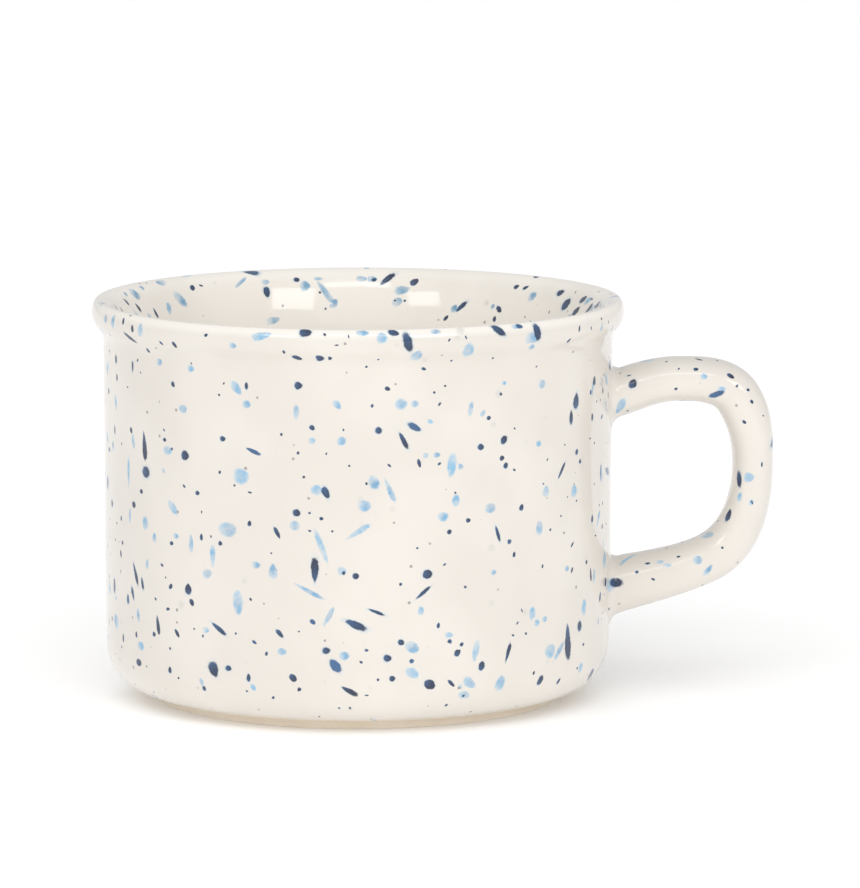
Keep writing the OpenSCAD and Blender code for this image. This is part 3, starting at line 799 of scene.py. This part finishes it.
class Splashes:
    """The splashes of one layer: where each is, which way it runs, and its form and tone."""

    def __init__(self):
        self.at, self.run, self.form, self.tone = [], [], [], []

    def add(self, at, run, half_length, half_width, taper, tone, soft, pooled):
        self.at.append(at)
        self.run.append(run)
        self.form.append((half_length, half_width, taper))
        self.tone.append((tone, soft, pooled))

    def has_room(self, at, half_length, gap):
        if not self.at:
            return True
        apart = np.linalg.norm(np.array(self.at) - at, axis=1)
        return bool(np.all(apart > np.array(self.form)[:, 0] + half_length + gap))


def seen_faces(pieces):
    """Centres, normals and areas of every face that shows, as arrays."""
    parts = []
    for piece in pieces:
        polygons = piece.data.polygons
        centre, normal = np.empty(len(polygons) * 3), np.empty(len(polygons) * 3)
        area, seen = np.empty(len(polygons)), np.empty(len(polygons), bool)
        polygons.foreach_get("center", centre)
        polygons.foreach_get("normal", normal)
        polygons.foreach_get("area", area)
        piece.data.attributes["seen"].data.foreach_get("value", seen)
        parts.append((centre.reshape(-1, 3)[seen], normal.reshape(-1, 3)[seen], area[seen]))
    return [np.concatenate(column) for column in zip(*parts)]


def aimed(piece, across, height):
    """The aim point of a listed splash, and the level way to the right there."""
    if piece == "handle_glaze_coat":
        return np.array((across * MM, -SPLASH_SIDE, height)), np.array((1.0, 0.0, 0.0))
    turn = math.radians(across)
    inside = piece == "liner_glaze_coat"
    front = 1 if inside else -1
    reach = SPLASH_INSIDE if inside else SPLASH_OUTSIDE
    at = np.array((reach * math.sin(turn), front * reach * math.cos(turn), height))
    return at, np.array((math.cos(turn), -front * math.sin(turn), 0.0))


def lands(at, centres):
    """The face nearest to an aim point, whose height counts more than its depth."""
    apart = centres - at
    apart[:, 2] *= HEIGHT_COUNTS
    return int(np.argmin(np.einsum("fk,fk->f", apart, apart)))


def place_by_hand(layers, luck):
    """Lands the main splashes where the lists say."""
    for name, layer, tones, rows in PLACED:
        centres, normals, _ = seen_faces([bpy.data.objects[name]])
        for across, height, long, width, slant in rows:
            aim, right = aimed(name, across, height * MM)
            face = lands(aim, centres)
            normal = normals[face]
            at = aim + normal * (centres[face] - aim).dot(normal)
            tilt = math.radians(slant)
            way = right * math.cos(tilt) + np.array((0, 0, math.sin(tilt)))
            way -= normal * way.dot(normal)
            taper = luck.uniform(*(STREAK_TAPER if width / long < STREAK else DROP_TAPER))
            soft = luck.uniform(*SOFTNESS[layer])
            layers[layer].add(at, way / np.linalg.norm(way), long * MM / 2, width * MM / 2, taper,
                              luck.uniform(*tones), soft, luck.uniform(*POOLED))


def flick(layers, faces, spatter, settings, luck):
    """Lands one kind of splash all over the faces, wherever there is room for it.

    Only small ones land on the faces that look to the front, where the main ones are.
    """
    centres, normals, areas = faces
    wanted = round(areas.sum() / (100 * CM2) * spatter.many * settings.amount)
    layer = layers[spatter.layer]
    picks = luck.choice(len(areas), size=wanted * TRIES, p=areas / areas.sum())
    landed = 0
    for pick in picks:
        long = luck.uniform(*spatter.length) * MM / 2
        wide = min(luck.uniform(*spatter.width) * MM / 2, long)
        rest = [luck.uniform(*span) for span in (spatter.taper, spatter.tone, spatter.soft, spatter.pooled)]
        way = luck.normal(size=3)
        if landed == wanted or not layer.has_room(centres[pick], long, settings.gap):
            continue
        landed += 1
        if long > LARGE and normals[pick][1] < FACING_FRONT:
            continue
        way -= normals[pick] * way.dot(normals[pick])
        layer.add(centres[pick], way / np.linalg.norm(way), long, wide, *rest)


def give_splashes(piece, layers):
    """Writes on every face the one splash of each layer that reaches nearest to it."""
    polygons = piece.data.polygons
    centre = np.empty(len(polygons) * 3)
    polygons.foreach_get("center", centre)
    centre = centre.reshape(-1, 3)
    for name, layer in layers.items():
        at, run, form = (np.array(values) for values in (layer.at, layer.run, layer.form))
        nearest = np.empty(len(centre), int)
        for start in range(0, len(centre), FACES_AT_ONCE):
            apart = centre[start:start + FACES_AT_ONCE, None, :] - at[None, :, :]
            along = np.einsum("fsk,sk->fs", apart, run)
            away = np.einsum("fsk,fsk->fs", apart, apart)
            across = np.maximum(away - along ** 2, 0)
            reach = np.sqrt((along / form[:, 0]) ** 2 + across / form[:, 1] ** 2) + 1e-9
            beyond = np.sqrt(away) * (1 - 1 / reach)
            nearest[start:start + FACES_AT_ONCE] = np.argmin(beyond, axis=1)
        for part in ("at", "run", "form", "tone"):
            values = np.array(getattr(layer, part))[nearest]
            store = piece.data.attributes.new(f"{name}_{part}", "FLOAT_VECTOR", "FACE")
            store.data.foreach_set("vector", values.astype(np.float32).ravel())


# ------------------------------------------------------------- materials

def splash_layer_group():
    """Shader group: how strongly one layer's splash covers a place, and how deep inside it is."""
    name = "Splash layer"
    if name in bpy.data.node_groups:
        return bpy.data.node_groups[name]
    tree = bpy.data.node_groups.new(name, "ShaderNodeTree")
    for socket in ("Place", "At", "Run", "Form", "Tone"):
        tree.interface.new_socket(socket, in_out="INPUT", socket_type="NodeSocketVector")
    tree.interface.new_socket("Ragged", in_out="INPUT", socket_type="NodeSocketFloat")
    for socket in ("Cover", "Depth", "Halo", "Ahead", "Tone", "Pooled"):
        tree.interface.new_socket(socket, in_out="OUTPUT", socket_type="NodeSocketFloat")
    make = NodeMaker(tree)
    given = make.add("NodeGroupInput").outputs
    half_length, half_width, taper = make.split(given["Form"])
    tone, soft, pooled = make.split(given["Tone"])
    apart = make.vector("SUBTRACT", given["Place"], given["At"])
    along = make.vector("DOT_PRODUCT", apart, given["Run"])
    away = make.vector("DOT_PRODUCT", apart, apart)
    beside = make.math("SQRT", make.math("MAXIMUM", make.math(
        "SUBTRACT", away, make.math("MULTIPLY", along, along)), 0.0))
    forward = make.math("DIVIDE", along, half_length)
    narrow = make.math("MULTIPLY_ADD", make.math("MULTIPLY", taper, -1.0),
                       make.math("MINIMUM", make.math("MAXIMUM", forward, -1.0), 1.0), 1.0)
    sideways = make.math("DIVIDE", beside, make.math("MULTIPLY", half_width, narrow))
    reach = make.math("SQRT", make.math("ADD", make.math("POWER", make.math("ABSOLUTE", forward), 2.0),
                                        make.math("POWER", sideways, 2.0)))
    rough_reach = make.math("ADD", reach, given["Ragged"])
    low, high = make.math("SUBTRACT", 1.0, soft), make.math("ADD", 1.0, soft)
    out = make.add("NodeGroupOutput")
    make.feed(out.inputs["Cover"], make.ramp(rough_reach, low, high, 1.0, 0.0))
    make.feed(out.inputs["Depth"], make.ramp(rough_reach, 0.9, 0.25))
    make.feed(out.inputs["Halo"], make.ramp(rough_reach, 0.95, 1.7, 1.0, 0.0))
    make.feed(out.inputs["Ahead"], make.ramp(forward, -1.0, 0.3))
    make.feed(out.inputs["Tone"], tone)
    make.feed(out.inputs["Pooled"], pooled)
    return tree


def splash(make, place, layer, ragged):
    group = make.add("ShaderNodeGroup", node_tree=splash_layer_group())
    make.feed(group.inputs["Place"], place)
    for part in ("At", "Run", "Form", "Tone"):
        make.feed(group.inputs[part], make.attribute(f"{layer}_{part.lower()}"))
    make.feed(group.inputs["Ragged"], ragged)
    return group.outputs


def dots(make, place, spacing, smallest, largest, chance, soft):
    """Small round dots: one in some of the cells of a scattered lattice."""
    cells = make.add("ShaderNodeTexVoronoi", {"Vector": place, "Scale": 1 / spacing})
    pick, size, _ = make.split(cells.outputs["Color"])
    radius = make.math("MULTIPLY_ADD", size, (largest - smallest) / spacing, smallest / spacing)
    here = make.math("LESS_THAN", pick, chance)
    edge = make.math("SUBTRACT", cells.outputs["Distance"], radius)
    cover = make.ramp(edge, -soft / spacing, soft / spacing, 1.0, 0.0)
    return make.math("MULTIPLY", cover, here)


def spattered(make, place, base, glaze):
    """The glaze's colour with its freckles, its iron specks and both layers of splashes."""
    fray = make.noise(place, 0.7 * MM, 2.0, 0.6)
    ragged = make.math("MULTIPLY_ADD", fray, 0.5, -0.25)
    freckles = dots(make, place, 6 * MM, 0.2 * MM, 0.8 * MM, 0.5, 0.4 * MM)
    paint = make.mix(make.math("MULTIPLY", freckles, 0.5), base, glaze.freckle)
    cloud = make.noise(place, 1.6 * MM, 2.0, 0.5)
    thin = make.ramp(cloud, 0.25, 0.7, 0.45, 1.0)
    cover, depth, _, ahead, tone, pooled = splash(make, place, "soft", ragged)
    tone = make.math("MULTIPLY", tone, ahead)
    blue = make.mix(tone, glaze.sky, glaze.steel)
    blue = make.mix(make.math("MULTIPLY", make.math("MULTIPLY", depth, pooled), 0.3), blue, glaze.steel)
    weight = make.math("MULTIPLY_ADD", ahead, 0.3, 0.65)
    paint = make.mix(make.math("MULTIPLY", make.math("MULTIPLY", cover, thin), weight), paint, blue)
    cover, depth, halo, ahead, tone, pooled = splash(make, place, "dark", ragged)
    paint = make.mix(make.math("MULTIPLY", make.math("MULTIPLY", halo, pooled), 0.45), paint, glaze.sky)
    weight = make.math("MULTIPLY", tone, make.math("MULTIPLY_ADD", ahead, 0.5, 0.5))
    deep = make.mix(weight, glaze.steel, glaze.navy)
    deep = make.mix(make.math("MULTIPLY", make.math("MULTIPLY", depth, pooled), 0.35), deep, glaze.steel)
    paint = make.mix(make.math("MULTIPLY", cover, 0.96), paint, deep)
    specks = dots(make, place, 3.2 * MM, 0.08 * MM, 0.38 * MM, 0.4, 0.12 * MM)
    return make.mix(make.math("MULTIPLY", specks, 0.7), paint, glaze.speck)


def glaze_over(make, shader, place, paint, glaze):
    """Fires a glaze: its paint, its gloss, its slight orange peel and the slow roll of the wall."""
    peel = make.noise(place, 2.2 * MM, 2.0)
    roll = make.noise(place, 14 * MM, 1.0)
    height = make.math("MULTIPLY_ADD", roll, 6.0, peel)
    bump = make.add("ShaderNodeBump", {"Height": height, "Strength": 0.35, "Distance": 0.012 * MM})
    make.feed(shader.inputs["Base Color"], paint)
    make.feed(shader.inputs["Normal"], bump.outputs["Normal"])
    shader.inputs["Roughness"].default_value = glaze.gloss
    shader.inputs["IOR"].default_value = 1.5


def outer_glaze(name, form, glaze):
    """Ivory glaze with the spatter, thin over the clay at its lower edge."""
    material, make, shader = new_material(name)
    place = object_place(make)
    cloud = make.noise(place, 22 * MM, 2.0)
    base = make.mix(make.ramp(cloud, 0.35, 0.75, 0.0, 0.22), glaze.ivory, glaze.liner)
    height = make.split(place)[2]
    base = make.mix(make.ramp(height, form.widest_z, form.height, 0.0, 0.9), base, glaze.liner)
    paint = spattered(make, place, base, glaze)
    wave_height, wave_drop, thin_band = 1.2 * MM, 0.4 * MM, 0.9 * MM
    wave = make.math("MULTIPLY", make.noise(place, 5 * MM, 2.0), wave_height)
    edge = make.math("SUBTRACT", height, make.math("ADD", wave, form.foot_h - wave_drop))
    thin = make.ramp(edge, 0.0, thin_band, 0.9, 0.0)
    glaze_over(make, shader, place, make.mix(thin, paint, glaze.thin), glaze)
    return material


def inner_glaze(name, glaze):
    """Warmer ivory liner with the spatter, up to the top of the lip."""
    material, make, shader = new_material(name)
    place = object_place(make)
    cloud = make.noise(place, 22 * MM, 2.0)
    base = make.mix(make.ramp(cloud, 0.35, 0.75, 0.0, 0.3), glaze.liner, glaze.ivory)
    glaze_over(make, shader, place, spattered(make, place, base, glaze), glaze)
    return material


def plain_glaze(name, glaze):
    """Liner glaze without spatter, for the recess under the foot."""
    material, make, shader = new_material(name)
    place = object_place(make)
    cloud = make.noise(place, 9 * MM, 3.0)
    base = make.mix(make.ramp(cloud, 0.3, 0.7, 0.0, 0.6), glaze.liner, glaze.freckle)
    specks = dots(make, place, 3.0 * MM, 0.05 * MM, 0.4 * MM, 0.25, 0.1 * MM)
    paint = make.mix(make.math("MULTIPLY", specks, 0.6), base, glaze.speck)
    glaze_over(make, shader, place, paint, glaze)
    return material


def fired_clay(name, body, glaze):
    """Bare fired stoneware: sandy, matt, with darker grains."""
    material, make, shader = new_material(name)
    place = object_place(make)
    cloud = make.noise(place, 6 * MM, 3.0)
    sand = make.noise(place, 0.35 * MM, 2.0, 0.7)
    shade = make.mix(make.ramp(cloud, 0.3, 0.7, 0.0, 0.2), body, glaze.grog)
    shade = make.mix(make.ramp(sand, 0.62, 0.8, 0.0, 0.35), shade, glaze.grog)
    pores = dots(make, place, 1.3 * MM, 0.05 * MM, 0.16 * MM, 0.3, 0.05 * MM)
    make.feed(shader.inputs["Base Color"], make.mix(make.math("MULTIPLY", pores, 0.6), shade, glaze.grog))
    height = make.math("SUBTRACT", sand, pores)
    bump = make.add("ShaderNodeBump", {"Height": height, "Strength": 0.6, "Distance": 0.05 * MM})
    make.feed(shader.inputs["Normal"], bump.outputs["Normal"])
    shader.inputs["Roughness"].default_value = glaze.clay_roughness
    return material


# ------------------------------------------------------------- pieces

def settings():
    """The scene, which holds the mug's groups of settings."""
    return bpy.context.scene


def place_piece(piece, slot, *nodes):
    """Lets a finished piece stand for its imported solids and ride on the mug."""
    if piece.name not in bpy.context.collection.objects:
        bpy.context.collection.objects.link(piece)
    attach(piece, BODY)
    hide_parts(*nodes)


def throw_body():
    """The clay body, whose foot ring is the only part left bare."""
    cup, glaze = settings().mug_cup, settings().mug_glaze
    form = cup_form(cup)
    bevel = cup.foot_bevel
    outside = outside_outline(form, cup, form.glaze_t)
    inside = inside_outline(form, cup, form.glaze_t, cup.glaze_run)
    foot = chained(
        [(0.0, form.recess_h + form.glaze_t)],
        [(form.recess_r, form.recess_h + form.glaze_t)],
        arc((form.recess_r + bevel, bevel), (bevel, bevel), 180, 270, 6),
        arc((form.foot_r - bevel, bevel), (bevel, bevel), 270, 360, 6))
    outline = foot + chained([foot[-1]], outside)[1:] + inside[1:]
    # The foot band's clay colour is lifted near white, painted light against the shade under the bottom
    # corner.
    piece = turned("clay_body", outline, len(foot) + 1,
                   fired_clay("Bare stoneware", glaze.clay, glaze), cup)
    place_piece(piece, "bare_clay", "cup_body")


def dip_outside():
    """The outside glaze, from the foot band to the top of the lip."""
    cup, glaze = settings().mug_cup, settings().mug_glaze
    form = cup_form(cup)
    roll = arc((form.foot_r + COAT_EDGE, form.foot_h - COAT_EDGE), (COAT_EDGE, COAT_EDGE), 180, 90, 5)
    seen = chained(roll, outside_outline(form, cup, 0.0)[1:])
    outline = seen + outside_outline(form, cup, form.glaze_t)[::-1]
    piece = turned("outside_glaze_coat", outline, len(seen),
                   outer_glaze("Spattered ivory glaze", form, glaze), cup)
    place_piece(piece, "outer_glaze", "outside_glaze")


def line_inside():
    """The liner glaze, from the top of the lip to the middle of the floor."""
    cup, glaze = settings().mug_cup, settings().mug_glaze
    form = cup_form(cup)
    seen = inside_outline(form, cup, 0.0, 0.0)
    back = inside_outline(form, cup, form.glaze_t, cup.glaze_run)[::-1]
    piece = turned("liner_glaze_coat", seen + back, len(seen),
                   inner_glaze("Spattered liner glaze", glaze), cup)
    place_piece(piece, "liner_glaze", "liner_glaze")


def coat_recess():
    """The glaze inside the foot ring, with a slight hollow edge where it meets the clay."""
    cup, glaze = settings().mug_cup, settings().mug_glaze
    form = cup_form(cup)
    top = form.recess_h + form.glaze_t
    climb = arc((form.recess_r - COAT_EDGE, form.recess_h - COAT_EDGE), (COAT_EDGE, COAT_EDGE), 90, 0, 5)
    seen = chained([(0.0, form.recess_h)], climb)
    outline = chained(seen, [(form.recess_r, top)], [(0.0, top)])
    piece = turned("recess_glaze_coat", outline, len(seen), plain_glaze("Recess glaze", glaze), cup)
    place_piece(piece, "liner_glaze", "recess_glaze")


def coat_handle():
    """The glaze over the handle and the smoothed slip round its roots."""
    cup, handle, glaze = settings().mug_cup, settings().mug_handle, settings().mug_glaze
    form = cup_form(cup)
    outer = handle_rings(form, cup, handle, 0.0)
    inner = handle_rings(form, cup, handle, form.glaze_t)
    rings = np.concatenate([outer, inner[::-1]])
    mesh = ring_mesh("handle_glaze_coat", rings, len(outer))
    mesh.materials.append(outer_glaze("Spattered handle glaze", form, glaze))
    piece = bpy.data.objects.new("handle_glaze_coat", mesh)
    place_piece(piece, "outer_glaze", "handle_glaze")


def spatter_glazes():
    """Flicks the coloured glazes over the wet coats, the same way each time."""
    spatter = settings().mug_spatter
    pieces = [bpy.data.objects[name]
              for name in ("outside_glaze_coat", "liner_glaze_coat", "handle_glaze_coat")]
    layers = {name: Splashes() for name in LAYERS}
    luck = np.random.default_rng(spatter.seed)
    place_by_hand(layers, luck)
    faces = seen_faces(pieces)
    for kind in SPATTERS:
        flick(layers, faces, kind, spatter, luck)
    for piece in pieces:
        give_splashes(piece, layers)


def finish_joined_clay():
    """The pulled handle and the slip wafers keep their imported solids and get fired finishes."""
    glaze = settings().mug_glaze
    clay = fired_clay("Handle stoneware", glaze.clay, glaze)
    slip = fired_clay("Joining slip", glaze.slip, glaze)
    for node, material in (("handle", clay), ("upper_slip_joint", slip), ("lower_slip_joint", slip)):
        mesh = frame["nodes"][node].data
        mesh.materials.clear()
        mesh.materials.append(material)


# ------------------------------------------------------------- stage

# Each window's azimuth and elevation in degrees, then its width and height in metres.
WINDOWS = {"Left window": (-35, 27, (0.42, 0.26)), "Right window": (34, 27, (0.56, 0.4)),
           "Centre window": (0, 39, (0.8, 0.14))}
WINDOW_DISTANCE = 1.6
# Each very soft sun's azimuth, elevation and spread in degrees.
FRONT_SUN = (-8, 25, 60)
TABLE_SUN = (-25, 50, 80)
TABLE_SIZE = 8.0
CAMERA_PIVOT = 40 * MM    # height of the point that the camera's distance is measured from


def add_window(name, azimuth, elevation, size, brightness, aim):
    """A soft rectangular light that shines as brightly however large it is."""
    light = bpy.data.lights.new(name, "AREA")
    light.shape = "RECTANGLE"
    light.size, light.size_y = size
    light.energy = brightness * math.pi * size[0] * size[1]
    lamp = bpy.data.objects.new(name, light)
    lamp.location = around(WINDOW_DISTANCE, azimuth, elevation)
    lamp.rotation_euler = (aim - lamp.location).to_track_quat("-Z", "Y").to_euler()
    bpy.context.collection.objects.link(lamp)


def add_sun(name, strength, azimuth, elevation, spread):
    """A light from far away, so wide that its shadows have no edge."""
    light = bpy.data.lights.new(name, "SUN")
    light.energy = strength
    light.angle = math.radians(spread)
    lamp = bpy.data.objects.new(name, light)
    lamp.rotation_euler = (-Vector(around(1.0, azimuth, elevation))).to_track_quat("-Z", "Y").to_euler()
    bpy.context.collection.objects.link(lamp)
    return lamp


def shine_only_on(lamp, piece):
    """Lets a light fall on one piece only; everything still casts its shadow there."""
    receivers = bpy.data.collections.new(f"{lamp.name} receivers")
    receivers.objects.link(piece)
    lamp.light_linking.receiver_collection = receivers


def around(distance, azimuth, elevation):
    """A place at an azimuth from the front, positive towards the handle, and an elevation."""
    flat = distance * math.cos(math.radians(elevation))
    return (flat * math.sin(math.radians(azimuth)), -flat * math.cos(math.radians(azimuth)),
            distance * math.sin(math.radians(elevation)))


def lay_floor(stage):
    """A wide white table top that glows a little, so that it fades into the background."""
    bpy.ops.mesh.primitive_plane_add(size=TABLE_SIZE)
    floor = bpy.context.object
    floor.name = "table_top"
    material, make, shader = new_material("White table")
    place = object_place(make)
    grain = make.noise(place, 0.4, 2.0)
    white = stage.floor_white
    make.feed(shader.inputs["Base Color"], make.mix(make.ramp(grain, 0.3, 0.7, 0.0, 0.02),
                                                    (white, white, white), (white, white, white * 0.98)))
    shader.inputs["Roughness"].default_value = 0.6
    shader.inputs["Specular IOR Level"].default_value = 0.1
    shader.inputs["Emission Color"].default_value = (1.0, 1.0, 1.0, 1.0)
    shader.inputs["Emission Strength"].default_value = stage.floor_glow
    floor.data.materials.append(material)
    return floor


def light_world(stage):
    """Even white light from all round."""
    world = bpy.data.worlds.new("Studio white")
    world.use_nodes = True
    background = world.node_tree.nodes["Background"]
    background.inputs["Color"].default_value = (1.0, 1.0, 1.0, 1.0)
    background.inputs["Strength"].default_value = stage.sky_light
    bpy.context.scene.world = world


def set_camera(stage):
    """A long lens that looks down a little at the mug."""
    camera = bpy.data.cameras.new("Camera")
    camera.lens = stage.lens
    camera.clip_end = 20
    eye = bpy.data.objects.new("Camera", camera)
    bpy.context.collection.objects.link(eye)
    down = stage.elevation
    middle = Vector((0, 0, CAMERA_PIVOT))
    back = Vector((0, -math.cos(down), math.sin(down)))
    upward = Vector((0, math.sin(down), math.cos(down)))
    eye.location = middle + back * stage.distance
    aim = middle + Vector((stage.aim_side, 0, 0)) + upward * stage.aim_up
    turn = (aim - eye.location).to_track_quat("-Z", "Y")
    eye.rotation_euler = turn.to_euler()
    bpy.context.scene.camera = eye


def set_stage():
    """White table, even light, three soft windows, two very soft suns and the camera."""
    stage = settings().mug_stage
    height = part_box("outside_glaze")[1].z
    bpy.context.scene.view_settings.view_transform = "Standard"
    floor = lay_floor(stage)
    light_world(stage)
    aim = Vector((0, 0, height))
    for name, (azimuth, elevation, size) in WINDOWS.items():
        add_window(name, azimuth, elevation, size, stage.window_light, aim)
    add_sun("Front light", stage.sun_light, *FRONT_SUN)
    shine_only_on(add_sun("Table light", stage.table_light, *TABLE_SUN), floor)
    set_camera(stage)


# ------------------------------------------------------------- operators

def main():
    register()
    bpy.ops.mug.throw_body()
    bpy.ops.mug.dip_outside()
    bpy.ops.mug.line_inside()
    bpy.ops.mug.coat_recess()
    bpy.ops.mug.coat_handle()
    bpy.ops.mug.spatter()
    bpy.ops.mug.finish_joined_clay()
    bpy.ops.mug.set_stage()


class MUG_OT_throw_body(bpy.types.Operator):
    """Turn the clay body"""
    bl_idname = "mug.throw_body"
    bl_label = "Throw Body"

    def execute(self, context):
        throw_body()
        return {"FINISHED"}


class MUG_OT_dip_outside(bpy.types.Operator):
    """Coat the outside of the cup with ivory glaze"""
    bl_idname = "mug.dip_outside"
    bl_label = "Glaze Outside"

    def execute(self, context):
        dip_outside()
        return {"FINISHED"}


class MUG_OT_line_inside(bpy.types.Operator):
    """Line the inside of the cup with warm ivory glaze"""
    bl_idname = "mug.line_inside"
    bl_label = "Glaze Inside"

    def execute(self, context):
        line_inside()
        return {"FINISHED"}


class MUG_OT_coat_recess(bpy.types.Operator):
    """Glaze the recess inside the foot ring"""
    bl_idname = "mug.coat_recess"
    bl_label = "Glaze Recess"

    def execute(self, context):
        coat_recess()
        return {"FINISHED"}


class MUG_OT_coat_handle(bpy.types.Operator):
    """Coat the handle and its joints with ivory glaze"""
    bl_idname = "mug.coat_handle"
    bl_label = "Glaze Handle"

    def execute(self, context):
        coat_handle()
        return {"FINISHED"}


class MUG_OT_spatter(bpy.types.Operator):
    """Flick navy and blue glaze over every coat that shows"""
    bl_idname = "mug.spatter"
    bl_label = "Spatter"

    def execute(self, context):
        spatter_glazes()
        return {"FINISHED"}


class MUG_OT_finish_joined_clay(bpy.types.Operator):
    """Give the handle's clay and its slip joints their fired finishes"""
    bl_idname = "mug.finish_joined_clay"
    bl_label = "Finish Handle Clay"

    def execute(self, context):
        finish_joined_clay()
        return {"FINISHED"}


class MUG_OT_set_stage(bpy.types.Operator):
    """Set up the table, the lights and the camera"""
    bl_idname = "mug.set_stage"
    bl_label = "Set Stage"

    def execute(self, context):
        set_stage()
        return {"FINISHED"}


OPERATORS = (MUG_OT_throw_body, MUG_OT_dip_outside, MUG_OT_line_inside, MUG_OT_coat_recess,
             MUG_OT_coat_handle, MUG_OT_spatter, MUG_OT_finish_joined_clay, MUG_OT_set_stage)
SETTINGS = {"mug_cup": MugCupSettings, "mug_handle": MugHandleSettings, "mug_glaze": MugGlazeSettings,
            "mug_spatter": MugSpatterSettings, "mug_stage": MugStageSettings}


class MUG_PT_sidebar(bpy.types.Panel):
    """Lists the mug's settings and the steps that make it"""
    bl_idname = "MUG_PT_sidebar"
    bl_label = "Spatter Glazed Mug"
    bl_space_type = "VIEW_3D"
    bl_region_type = "UI"
    bl_category = "Mug"

    def draw(self, context):
        for step in OPERATORS:
            self.layout.operator(step.bl_idname)
        for name in SETTINGS:
            group = getattr(context.scene, name)
            box = self.layout.box()
            for key in group.__annotations__:
                box.prop(group, key)


CLASSES = (*SETTINGS.values(), *OPERATORS, MUG_PT_sidebar)


def register():
    for cls in CLASSES:
        bpy.utils.register_class(cls)
    for name, group in SETTINGS.items():
        setattr(bpy.types.Scene, name, PointerProperty(type=group))


def unregister():
    for name in SETTINGS:
        delattr(bpy.types.Scene, name)
    for cls in reversed(CLASSES):
        bpy.utils.unregister_class(cls)


if __name__ == "__main__":
    main()
